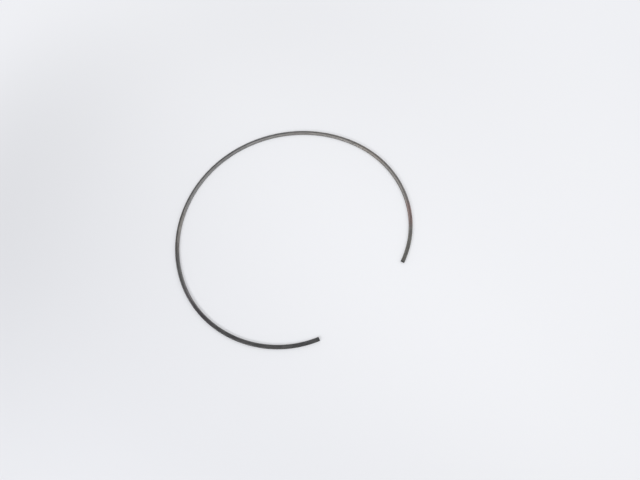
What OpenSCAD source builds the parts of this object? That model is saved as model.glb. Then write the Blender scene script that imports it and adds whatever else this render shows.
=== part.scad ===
// Retaining ring of flat spring wire for the groove of a bore, in its free state.
// It lies on its lower face with the gap towards +X, and the centre of its main arc is the origin.
//
// The ring is squeezed together to go into its groove. The squeeze bends the wire most opposite
// the gap and not at all at its two ends. So that the seated ring is round, the free ring is
// slack opposite the gap, tighter at the shoulders, and its ends already have the groove's radius.

/* [Wire] */
// Width of the wire, along the ring's radius
wire_w = 2.5; // [1.6:0.1:4]
// Thickness of the wire, along the ring's axis
wire_t = 1.4; // [0.9:0.1:2.5]
// Radius that rolling leaves on the wire's four long edges
edge_r = 0.25; // [0.1:0.05:0.4]

/* [Free shape] */
// Diameter of the groove that the seated ring fills
groove_d = 132.6; // [122:0.1:140]
// Radius of the slack main arc opposite the gap, to the middle of the wire
main_r = 80.4; // [77:0.1:90]
// Radius of the two shoulders beside the main arc, to the middle of the wire
shoulder_r = 75.3; // [70:0.1:77]
// Angle of the main arc, in degrees
main_angle = 84; // [70:0.5:94]
// Angle of each shoulder, in degrees
shoulder_angle = 31; // [25:0.5:35]
// Angle of each end arc, from its shoulder to the cut end, in degrees
end_angle = 86.5; // [75:0.5:92]

/* [Cut ends] */
// Width of the bevel that tumbling leaves around each cut end
end_bevel = 0.2; // [0.1:0.05:0.4]

/* [Hidden] */

// Steps in a full turn of the ring, and in a full turn of a rounded edge
ring_steps = 180;
edge_steps = 24;

// Radius of the end arcs to the middle of the wire, when its outer wall fits the groove
end_r = (groove_d - wire_w) / 2;

// Half of the ring, arc by arc from the middle of the main arc to the cut end: [radius, angle]
half_ring = [[main_r, main_angle / 2], [shoulder_r, shoulder_angle], [end_r, end_angle]];

// Direction, seen from the centre of arc i, in which that arc starts
function start_of(i) = i == 0 ? 180 : start_of(i - 1) - half_ring[i - 1][1];

// Centre of arc i: on the line through the last centre and the joint, so that the arcs are tangent
function centre_of(i) = i == 0 ? [0, 0] :
    centre_of(i - 1) + (half_ring[i - 1][0] - half_ring[i][0]) * [cos(start_of(i)), sin(start_of(i))];

// Section of the wire: a rectangle with rolled edges, its lower side at 0
module wire_section() {
    translate([-wire_w / 2, edge_r]) square([wire_w, wire_t - 2 * edge_r]);
    translate([-wire_w / 2 + edge_r, 0]) square([wire_w - 2 * edge_r, wire_t]);
    for (x = [-1, 1], z = [edge_r, wire_t - edge_r])
        translate([x * (wire_w / 2 - edge_r), z]) circle(edge_r, $fn = edge_steps);
}

// Moves what follows to a point in two steps, whole hundredths first and then the rest. Written out
// with few digits, a single step would leave neighbouring arcs a hair apart at their joints.
module at(point) {
    hundredths = [for (x = point) round(100 * x) / 100];
    translate(hundredths) translate(point - hundredths) children();
}

// Arc i of the ring, from one direction through an angle
module wire_arc(i, from, angle) {
    at(centre_of(i))
        rotate_extrude(angle = angle, start = from, $fn = ring_steps)
            at([half_ring[i][0], 0]) wire_section();
}

// What tumbling takes off the four edges of a square end face. The wire runs along +Y from the face,
// which is centred on the origin.
module end_bevels() {
    reach = 2 * wire_w;
    for (quarter = [0 : 3]) {
        half = (quarter % 2 == 0 ? wire_w : wire_t) / 2;
        rotate([0, 90 * quarter, 0]) translate([half - end_bevel / 2, end_bevel / 2, 0])
            rotate(-45) translate([reach / 2, 0, 0]) cube([reach, 2 * reach, 2 * reach], center = true);
    }
}

// The shoulder and the end arc on the +Y side of the ring, up to the bevelled end
module side_of_ring() {
    shoulder_from = start_of(2);
    end_from = shoulder_from - end_angle;
    wire_arc(1, shoulder_from, shoulder_angle);
    difference() {
        wire_arc(2, end_from, end_angle);
        translate(centre_of(2)) rotate(end_from) translate([end_r, 0, wire_t / 2]) end_bevels();
    }
}

module retaining_ring() {
    color("dimgray") {
        wire_arc(0, start_of(1), main_angle);
        side_of_ring();
        mirror([0, 1, 0]) side_of_ring();
    }
}

retaining_ring();
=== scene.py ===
import math

import bmesh
import bpy
from mathutils import Matrix, Vector


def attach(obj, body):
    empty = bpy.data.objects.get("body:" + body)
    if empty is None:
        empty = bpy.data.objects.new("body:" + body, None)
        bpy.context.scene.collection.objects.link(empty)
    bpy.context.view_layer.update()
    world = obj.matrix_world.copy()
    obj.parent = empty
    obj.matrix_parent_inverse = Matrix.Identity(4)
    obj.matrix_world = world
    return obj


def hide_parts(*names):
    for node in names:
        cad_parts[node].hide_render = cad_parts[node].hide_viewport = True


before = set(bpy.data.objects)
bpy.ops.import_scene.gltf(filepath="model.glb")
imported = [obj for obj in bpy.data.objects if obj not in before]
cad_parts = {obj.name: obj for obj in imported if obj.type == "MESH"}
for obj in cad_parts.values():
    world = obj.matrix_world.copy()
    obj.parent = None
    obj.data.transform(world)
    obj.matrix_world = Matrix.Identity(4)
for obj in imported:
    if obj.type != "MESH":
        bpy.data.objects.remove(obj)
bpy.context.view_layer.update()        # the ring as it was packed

MM = 0.001

# The ring's sizes, in metres and degrees
WIRE_WIDTH = 2.5 * MM
WIRE_THICKNESS = 1.4 * MM
EDGE_RADIUS = 0.25 * MM
END_BEVEL = 0.2 * MM
MAIN_RADIUS, MAIN_ANGLE = 80.4 * MM, 84
SHOULDER_RADIUS, SHOULDER_ANGLE = 75.3 * MM, 31
END_RADIUS, END_ANGLE = 65.05 * MM, 86.5

# Radius and angle of each arc of the wire, from the cut end on the +Y side round to the other
FREE_SHAPE = [
    (END_RADIUS, END_ANGLE),
    (SHOULDER_RADIUS, SHOULDER_ANGLE),
    (MAIN_RADIUS, MAIN_ANGLE),
    (SHOULDER_RADIUS, SHOULDER_ANGLE),
    (END_RADIUS, END_ANGLE),
]
WIRE_LENGTH = sum(radius * math.radians(angle) for radius, angle in FREE_SHAPE)

# Name of the attribute that says where a point lay on the wire before coiling: along, across and up
STRAIGHT = "straight_wire"

# Where the photograph was taken from, and the point of the floor at its middle
EYE = Vector((112.317, -89.857, 351.659)) * MM
AIM = Vector((7.336, 8.379, 0)) * MM
LENS, SENSOR = 33.1875, 36

# Half the wire's width and thickness, and the radius of its edges, in millimetres
HALF_WIDTH, HALF_THICKNESS, ROUNDING = WIRE_WIDTH / 2 / MM, WIRE_THICKNESS / 2 / MM, EDGE_RADIUS / MM

# Colours of the wire, darkest first: painted shade on the outer wall, a darker colour at the cut ends,
# painted shade on the outer half of the top, and the black oxide's own dark and light tones
OUTER_WALL_SHADE = (0.045, 0.045, 0.046, 1)
CUT_END_DARK = (0.055, 0.054, 0.053, 1)
OUTER_STRIP_SHADE = (0.055, 0.055, 0.056, 1)
DARK_OXIDE = (0.092, 0.092, 0.094, 1)
LIGHT_OXIDE = (0.122, 0.121, 0.122, 1)
# Colour of the steel where rolling has thinned the oxide, of the painted sheen, and of painted highlights
ROLLED_STEEL = (0.16, 0.159, 0.16, 1)
PAINTED_SHEEN = (0.225, 0.223, 0.221, 1)
BARE_STEEL = (0.3, 0.298, 0.295, 1)
# What small specks and thin films do to the colour below them: above 1 is brighter, below 1 darker
DARK_SPECK, LIGHT_SPECK = (0.74, 0.74, 0.745, 1), (1.28, 1.28, 1.275, 1)
FAINT_OIL, YELLOWED_OIL, OLIVE_OIL = (1.04, 1.0, 0.965, 1), (1.03, 1.0, 0.975, 1), (0.995, 1.02, 0.985, 1)
MAUVE_TEMPER, BROWN_RUST = (1.01, 0.97, 1.01, 1), (1.23, 0.93, 0.905, 1)

# Colour of the floor beside the front window and on the other side of the ring, and where along Y it changes;
# the darker colour beside the window is painted shade against the window's pool of light
FLOOR_COLOURS = (0.68, 0.688, 0.718, 1), (0.884, 0.893, 0.923, 1)
FLOOR_CHANGE = -0.2, 0.06
# Share of the floor's look that doesn't come from the lamps, beside the ring
FLOOR_GLOW = 0.4
# Colour in which the floor ends far from the ring, and of the room behind it
BACKDROP_COLOUR = (0.865, 0.873, 0.905, 1)
# Distances from the ring's middle at which the floor begins to take that colour, and at which it has it
BACKDROP_FADE = 0.16, 0.3


# The wire

def wire_arcs():
    """Centre, radius, first direction and angle of each arc. The main arc's centre is the origin."""
    turned = math.radians(180 - MAIN_ANGLE / 2 - SHOULDER_ANGLE - END_ANGLE)
    centre, arcs = Vector((0, 0, 0)), []
    for radius, angle in FREE_SHAPE:
        if arcs:
            slack = arcs[-1][1] - radius
            centre = centre + slack * Vector((math.cos(turned), math.sin(turned), 0))
        arcs.append((centre, radius, turned, math.radians(angle)))
        turned += math.radians(angle)
    main_centre = arcs[2][0]
    return [(centre - main_centre, *rest) for centre, *rest in arcs]


def wire_section(bm):
    """The wire's section as one flat face: a rectangle with rolled edges, upright, its width along X."""
    bmesh.ops.create_grid(bm, x_segments=1, y_segments=1, size=0.5)
    bmesh.ops.scale(bm, vec=(WIRE_WIDTH, WIRE_THICKNESS, 1), verts=bm.verts)
    bmesh.ops.bevel(bm, geom=bm.verts[:], offset=EDGE_RADIUS, affect="VERTICES", segments=6,
                    profile=0.5, material=-1)
    flats = [edge for edge in bm.edges if edge.calc_length() > 2 * EDGE_RADIUS]
    bmesh.ops.subdivide_edges(bm, edges=flats, cuts=5)
    bmesh.ops.rotate(bm, cent=(0, 0, 0), matrix=Matrix.Rotation(math.pi / 2, 3, "X"), verts=bm.verts)


def coil(bm, arcs):
    """Carries the section round the arcs, one after the other, from the first cut end to the last."""
    centre, radius, turned, _ = arcs[0]
    bmesh.ops.translate(bm, vec=(radius, 0, WIRE_THICKNESS / 2), verts=bm.verts)
    bmesh.ops.rotate(bm, cent=(0, 0, 0), matrix=Matrix.Rotation(turned, 3, "Z"), verts=bm.verts)
    bmesh.ops.translate(bm, vec=centre, verts=bm.verts)
    section = bm.verts[:] + bm.edges[:] + bm.faces[:]
    for centre, radius, turned, angle in arcs:
        spun = bmesh.ops.spin(bm, geom=section, cent=centre, axis=(0, 0, 1), dvec=(0, 0, 0),
                              angle=angle, steps=round(2 * math.degrees(angle)))
        section = spun["geom_last"]


def tumble_ends(bm):
    """Takes the sharp rim off both cut ends, and hands back the bevel's faces."""
    rims = {edge for face in bm.faces if len(face.verts) > 4 for edge in face.edges}
    return bmesh.ops.bevel(bm, geom=list(rims), offset=END_BEVEL, affect="EDGES", segments=2,
                           profile=0.5, material=-1, clamp_overlap=False)["faces"]


def note_straight_wire(bm, arcs):
    """Writes on each point where it lay before coiling, so that the marks of rolling follow the wire."""
    straight = bm.verts.layers.float_vector.new(STRAIGHT)
    for vert in bm.verts:
        length = 0
        for centre, radius, turned, angle in arcs:
            arm = vert.co - centre
            swing = (math.atan2(arm.y, arm.x) - turned + 0.1) % math.tau - 0.1
            if swing <= angle + 1e-6:
                vert[straight] = (length + radius * swing, arm.xy.length - radius, arm.z)
                break
            length += radius * angle


def retaining_ring():
    """The ring in its free state, lying on its lower face with the gap towards +X."""
    arcs = wire_arcs()
    bm = bmesh.new()
    wire_section(bm)
    coil(bm, arcs)
    for face in bm.faces:
        face.smooth = len(face.verts) == 4
    for face in tumble_ends(bm):
        face.smooth = False
    bmesh.ops.recalc_face_normals(bm, faces=bm.faces)
    note_straight_wire(bm, arcs)
    mesh = bpy.data.meshes.new("ring_of_flat_wire")
    bm.to_mesh(mesh)
    bm.free()
    ring = bpy.data.objects.new("ring_of_flat_wire", mesh)
    bpy.context.scene.collection.objects.link(ring)
    return ring


# The steel

class Value:
    """One output of a node. Arithmetic on it adds Math nodes."""

    def __init__(self, surface, socket):
        self.surface, self.socket = surface, socket

    def math(self, operation, *others):
        return self.surface.node("ShaderNodeMath", {"operation": operation}, enumerate((self, *others)))

    def __add__(self, other):
        return self.math("ADD", other)

    def __sub__(self, other):
        return self.math("SUBTRACT", other)

    def __rsub__(self, other):
        return self * -1 + other

    def __mul__(self, other):
        return self.math("MULTIPLY", other)

    def __truediv__(self, other):
        return self.math("DIVIDE", other)

    def __abs__(self):
        return self.math("ABSOLUTE")

    __radd__, __rmul__ = __add__, __mul__


class Surface:
    """The nodes of one material, or of the world."""

    def __init__(self, owner):
        owner.use_nodes = True
        self.tree = owner.node_tree
        self.tree.nodes.clear()

    def node(self, kind, settings=(), inputs=(), output=0):
        """Adds a node, sets it up, gives its sockets numbers or links, and hands back one output."""
        made = self.tree.nodes.new(kind)
        for name, value in dict(settings).items():
            setattr(made, name, value)
        for socket, value in dict(inputs).items():
            if isinstance(value, Value):
                self.tree.links.new(value.socket, made.inputs[socket])
            else:
                made.inputs[socket].default_value = value
        return Value(self, made.outputs[output]) if len(made.outputs) else None

    def part(self, place, axis):
        """One of a place's three numbers."""
        return self.node("ShaderNodeSeparateXYZ", {}, {0: place}, output=axis)

    def rise(self, value, low, high):
        """0 below low, 1 above high, and smooth between them."""
        return self.node("ShaderNodeMapRange", {"interpolation_type": "SMOOTHSTEP"},
                         {"Value": value, "From Min": low, "From Max": high})

    def noise(self, place, cells, detail=3, rough=0.5):
        """Noise from 0 to 1, with so many cells to the metre along, across and up."""
        stretched = self.node("ShaderNodeVectorMath", {"operation": "MULTIPLY"}, {0: place, 1: cells})
        return self.node("ShaderNodeTexNoise", {},
                         {"Vector": stretched, "Scale": 1, "Detail": detail, "Roughness": rough})

    def ray(self, kind):
        """1 for what a ray of one kind sees, otherwise 0."""
        return self.node("ShaderNodeLightPath", {}, {}, output=kind)

    def blend(self, share, below, above):
        """One colour at a share of 0, the other at 1."""
        return self.node("ShaderNodeMix", {"data_type": "RGBA"}, {0: share, 6: below, 7: above}, output=2)

    def film(self, share, below, tint):
        """A colour seen through a thin film of another."""
        return self.node("ShaderNodeMix", {"data_type": "RGBA", "blend_type": "MULTIPLY"},
                         {0: share, 6: below, 7: tint}, output=2)


class WireSurface(Surface):
    """The surface of the wire. A place on it is a length along from the first cut end, a distance across
    from the wire's middle and a height, in millimetres. Its marks are noise from 0 to 1."""

    def __init__(self, owner):
        super().__init__(owner)
        place = self.node("ShaderNodeAttribute", {"attribute_name": STRAIGHT}, output="Vector")
        self.along, self.across, self.up = (self.part(place, axis) / MM for axis in "XYZ")
        self.rolling = self.noise(place, (70, 5200, 5200), detail=4, rough=0.6)
        self.fine_marks = self.noise(place, (260, 16000, 16000), detail=2)
        self.blotches = self.noise(place, (130, 480, 480), detail=4, rough=0.6)
        self.long_drift = self.noise(place, (22, 60, 60), detail=2)
        self.specks = self.noise(place, (330, 1700, 1700), detail=5, rough=0.68)

    def past(self, low, high):
        """0 up to one length along the wire, 1 past the other."""
        return self.rise(self.along, low, high)

    def stretch(self, start, full, fading, end):
        """1 along part of the wire, fading to 0 at both of its ends."""
        return self.past(start, full) - self.past(fading, end)


def sheen_strip(wire):
    """1 where a painted sheen lightens the wire: from its inner edge to about its middle, but not near its
    ends.
    """
    reach = wire.past(-16, 66) * 1.3 + wire.past(165, 225) * 0.3 - wire.past(258, 285) * 0.45
    reach = reach - wire.past(300, 336) * 1.2 - 1.4
    return (1 - wire.rise(wire.across - reach, -0.12, 0.12)) * (1 - wire.stretch(262, 276, 286, 300) * 0.35)


def edge_highlights(wire, outer_edge):
    """How strongly painted highlights lighten the rolled edges, in patches."""
    patchy = wire.rise(wire.rolling * 0.6 + wire.blotches * 0.4, 0.4, 0.62)
    near_edge = wire.rise(abs(wire.up - HALF_THICKNESS), HALF_THICKNESS - 1.2 * ROUNDING,
                          HALF_THICKNESS - 0.4 * ROUNDING)
    inner_edge = wire.rise(wire.across * -1, HALF_WIDTH - 1.3 * ROUNDING, HALF_WIDTH - 0.5 * ROUNDING)
    brightest_edges = wire.stretch(42, 56, 122, 140) + wire.stretch(200, 210, 234, 246)
    brightest_edges = brightest_edges + wire.stretch(252, 266, 300, 316)
    outer_highlight = wire.stretch(-10, 40, 125, 145) + wire.stretch(198, 212, 306, 322) + brightest_edges * 0.45
    return near_edge * (inner_edge * patchy * 0.5 + outer_edge * outer_highlight * (0.4 + patchy * 0.35))


def steel_colour(wire, outer_wall, cut_end):
    """Black oxide with rolling marks, lightened by painted sheen on the inner half of the top, a painted
    reflection on the inner wall and painted highlights on the edges, with painted shade on the outer wall and
    the outer half of the top, and darker near the cut ends."""
    sheen = sheen_strip(wire)
    # Stretches of the wire where the painted sheen is brightest
    most_sheen = wire.stretch(200, 232, 256, 276)
    most_sheen = most_sheen + (wire.stretch(40, 56, 92, 110) + wire.stretch(146, 158, 180, 192)) * 0.35
    # Painted sheen near the first cut end and on a stretch near the last
    extra_sheen = 1 - wire.past(45, 75) + wire.stretch(274, 286, 294, 318)
    # Painted reflection on the inner wall, weaker along one stretch
    lit_inner_wall = wire.rise(wire.across * -1, HALF_WIDTH - 0.2, HALF_WIDTH)
    lit_inner_wall = lit_inner_wall * (0.65 - wire.stretch(200, 225, 255, 275) * 0.25)
    outer_edge = wire.rise(wire.across, HALF_WIDTH - 0.6, HALF_WIDTH - 0.2)
    # Painted shade on the outer half of the top face, along the wire away from its ends
    shaded_strip = (1 - sheen) * (1 - outer_edge) * wire.stretch(52, 80, 250, 290)

    colour = wire.blend(wire.rise(wire.blotches, 0.3, 0.7), DARK_OXIDE, LIGHT_OXIDE)
    colour = wire.blend(wire.rise(wire.rolling, 0.45, 0.75) * 0.5, colour, ROLLED_STEEL)
    # Painted sheen on the inner half of the top
    colour = wire.blend(sheen * 0.8, colour, PAINTED_SHEEN)
    colour = wire.blend(sheen * most_sheen * 0.6, colour, BARE_STEEL)
    colour = wire.blend(extra_sheen * (0.1 + sheen * 0.12), colour, BARE_STEEL)
    colour = wire.blend(lit_inner_wall, colour, BARE_STEEL)
    colour = wire.blend(shaded_strip * 0.45, colour, OUTER_STRIP_SHADE)
    # Painted highlights on the rolled edges
    colour = wire.blend(edge_highlights(wire, outer_edge), colour, BARE_STEEL)
    # Painted shade on the outer wall
    colour = wire.blend(outer_wall * 0.85, colour, OUTER_WALL_SHADE)
    # Darker near both cut ends
    return wire.blend(cut_end * 0.6, colour, CUT_END_DARK)


def specks_and_films(wire, colour):
    """The colour with small specks all over it, and with oil, temper and rust along parts of the wire."""
    colour = wire.film(wire.rise(wire.specks, 0.5, 0.66), colour, DARK_SPECK)
    colour = wire.film(1 - wire.rise(wire.specks, 0.34, 0.5), colour, LIGHT_SPECK)
    oily = 1 - wire.past(135, 175) + wire.stretch(236, 248, 268, 280)
    colour = wire.film(oily * (0.5 + wire.long_drift), colour, FAINT_OIL)
    colour = wire.film(wire.stretch(73, 79, 93, 102), colour, YELLOWED_OIL)
    colour = wire.film(1 - wire.past(12, 26), colour, OLIVE_OIL)
    colour = wire.film(wire.stretch(292, 304, 320, 334), colour, MAUVE_TEMPER)
    rust = wire.stretch(23, 31, 40, 47) * (0.6 + wire.rise(wire.blotches, 0.3, 0.6) * 0.4)
    return wire.film(rust, colour, BROWN_RUST)


def spring_steel():
    """Blackened and oiled spring steel, rolled and a little rusty near one end, with painted sheen,
    highlights and shade.
    """
    material = bpy.data.materials.new("oiled_spring_steel")
    wire = WireSurface(material)
    # Painted shade on the outer wall, strongest on the last stretch before the far cut end; the same mask
    # makes the wall rougher and less oily
    outer_wall = wire.rise(wire.across, HALF_WIDTH - 0.6 * ROUNDING, HALF_WIDTH - 0.1 * ROUNDING)
    outer_wall = outer_wall * (0.15 + wire.past(322, 342) * 0.75)
    from_end = wire.along.math("MINIMUM", WIRE_LENGTH / MM - wire.along)
    cut_end = 1 - wire.rise(from_end, 0.1, 1.1)
    colour = specks_and_films(wire, steel_colour(wire, outer_wall, cut_end))

    roughness = 0.36 + (wire.rolling - 0.5) * 0.14 + (wire.blotches - 0.5) * 0.16
    roughness = roughness + (wire.fine_marks - 0.5) * 0.1 + outer_wall * 0.25 + cut_end * 0.1
    oil = (0.12 + wire.rise(wire.long_drift, 0.42, 0.6) * 0.12) * (1 - outer_wall * 0.7)
    height = wire.rolling * 0.7 + wire.fine_marks * 0.3
    grain = wire.node("ShaderNodeBump", {}, {"Strength": 0.45, "Distance": 0.02 * MM, "Height": height})
    shader = wire.node("ShaderNodeBsdfPrincipled", {}, {
        "Base Color": colour, "Metallic": 0.9, "Roughness": roughness,
        "Specular Tint": (0.35, 0.35, 0.35, 1), "Coat Weight": oil, "Coat Roughness": 0.22, "Normal": grain,
    })
    wire.node("ShaderNodeOutputMaterial", {}, {"Surface": shader})
    return material


# The place where it lies

def pale_paper():
    """Pale paper, darker beside the front window as painted shade. Far from the ring it passes into the
    backdrop's colour.
    """
    material = bpy.data.materials.new("pale_paper")
    paper = Surface(material)
    place = paper.node("ShaderNodeTexCoord", {}, {}, output="Object")
    # Painted shade: the paper is darker towards the front window
    colour = paper.blend(paper.rise(paper.part(place, "Y"), *FLOOR_CHANGE), *FLOOR_COLOURS)
    from_middle = paper.node("ShaderNodeVectorMath", {"operation": "LENGTH"}, {0: place}, output="Value")
    far = paper.rise(from_middle, *BACKDROP_FADE)
    matt = paper.node("ShaderNodeBsdfPrincipled", {}, {
        "Base Color": colour, "Roughness": 0.9, "Specular IOR Level": 0.1})
    glow = paper.node("ShaderNodeEmission", {}, {
        "Color": paper.blend(far, colour, BACKDROP_COLOUR), "Strength": 1})
    seen = (paper.ray("Is Camera Ray") + paper.ray("Is Glossy Ray")
            + paper.ray("Is Transmission Ray")).math("MINIMUM", 1)
    share = seen * (FLOOR_GLOW + far * (1 - FLOOR_GLOW))
    shader = paper.node("ShaderNodeMixShader", {}, {0: share, 1: matt, 2: glow})
    paper.node("ShaderNodeOutputMaterial", {}, {"Surface": shader})
    return material


def pale_floor():
    """A flat floor, just under the ring's lower face."""
    bm = bmesh.new()
    bmesh.ops.create_grid(bm, x_segments=1, y_segments=1, size=3)
    bmesh.ops.translate(bm, vec=(0, 0, -0.01 * MM), verts=bm.verts)
    mesh = bpy.data.meshes.new("floor")
    bm.to_mesh(mesh)
    bm.free()
    floor = bpy.data.objects.new("floor", mesh)
    bpy.context.scene.collection.objects.link(floor)
    mesh.materials.append(pale_paper())


def soft_lamp(name, towards, distance, width, height, power):
    """A lamp with a large flat face, in a direction from the ring and turned to it."""
    data = bpy.data.lights.new(name, "AREA")
    data.shape, data.size, data.size_y, data.energy = "RECTANGLE", width, height, power
    lamp = bpy.data.objects.new(name, data)
    bpy.context.scene.collection.objects.link(lamp)
    lamp.location = Vector(towards).normalized() * distance
    lamp.rotation_euler = Vector(towards).to_track_quat("Z", "Y").to_euler()
    lamp.visible_camera = False


def studio_light():
    """Soft light from all round, windows at the front left and the right, and a bright wall at the back."""
    world = bpy.data.worlds.new("room")
    bpy.context.scene.world = world
    room = Surface(world)
    towards = room.node("ShaderNodeTexCoord", {}, {}, output="Generated")
    height = room.part(towards, "Z").math("MAXIMUM", 0)
    light = room.node("ShaderNodeBackground", {}, {"Color": (1, 1, 1, 1), "Strength": 0.87 - height * 0.5})
    backdrop = room.node("ShaderNodeBackground", {}, {"Color": BACKDROP_COLOUR, "Strength": 1})
    glow = room.node("ShaderNodeMixShader", {}, {0: room.ray("Is Camera Ray"), 1: light, 2: backdrop})
    room.node("ShaderNodeOutputWorld", {}, {"Surface": glow})
    soft_lamp("front_left_window", (0.146, -0.827, 0.58), 0.42, 0.26, 0.1, 0.86)
    soft_lamp("right_window", (0.44, 0.6, 0.67), 0.6, 0.4, 0.3, 0.78)
    soft_lamp("back_wall", (-0.44, 0.44, 0.78), 1.2, 0.7, 0.7, 1.95)


def photograph_camera():
    """The camera that took the photograph."""
    data = bpy.data.cameras.new("camera")
    data.lens, data.sensor_width = LENS, SENSOR
    data.clip_start, data.clip_end = 0.01, 20
    camera = bpy.data.objects.new("camera", data)
    bpy.context.scene.collection.objects.link(camera)
    camera.location = EYE
    camera.rotation_euler = (AIM - EYE).to_track_quat("-Z", "Y").to_euler()
    bpy.context.scene.camera = camera


photograph_camera()
pale_floor()
studio_light()
bpy.context.scene.view_settings.view_transform = "Standard"

ring = retaining_ring()
ring.data.materials.append(spring_steel())
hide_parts("retaining_ring")
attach(ring, "root")
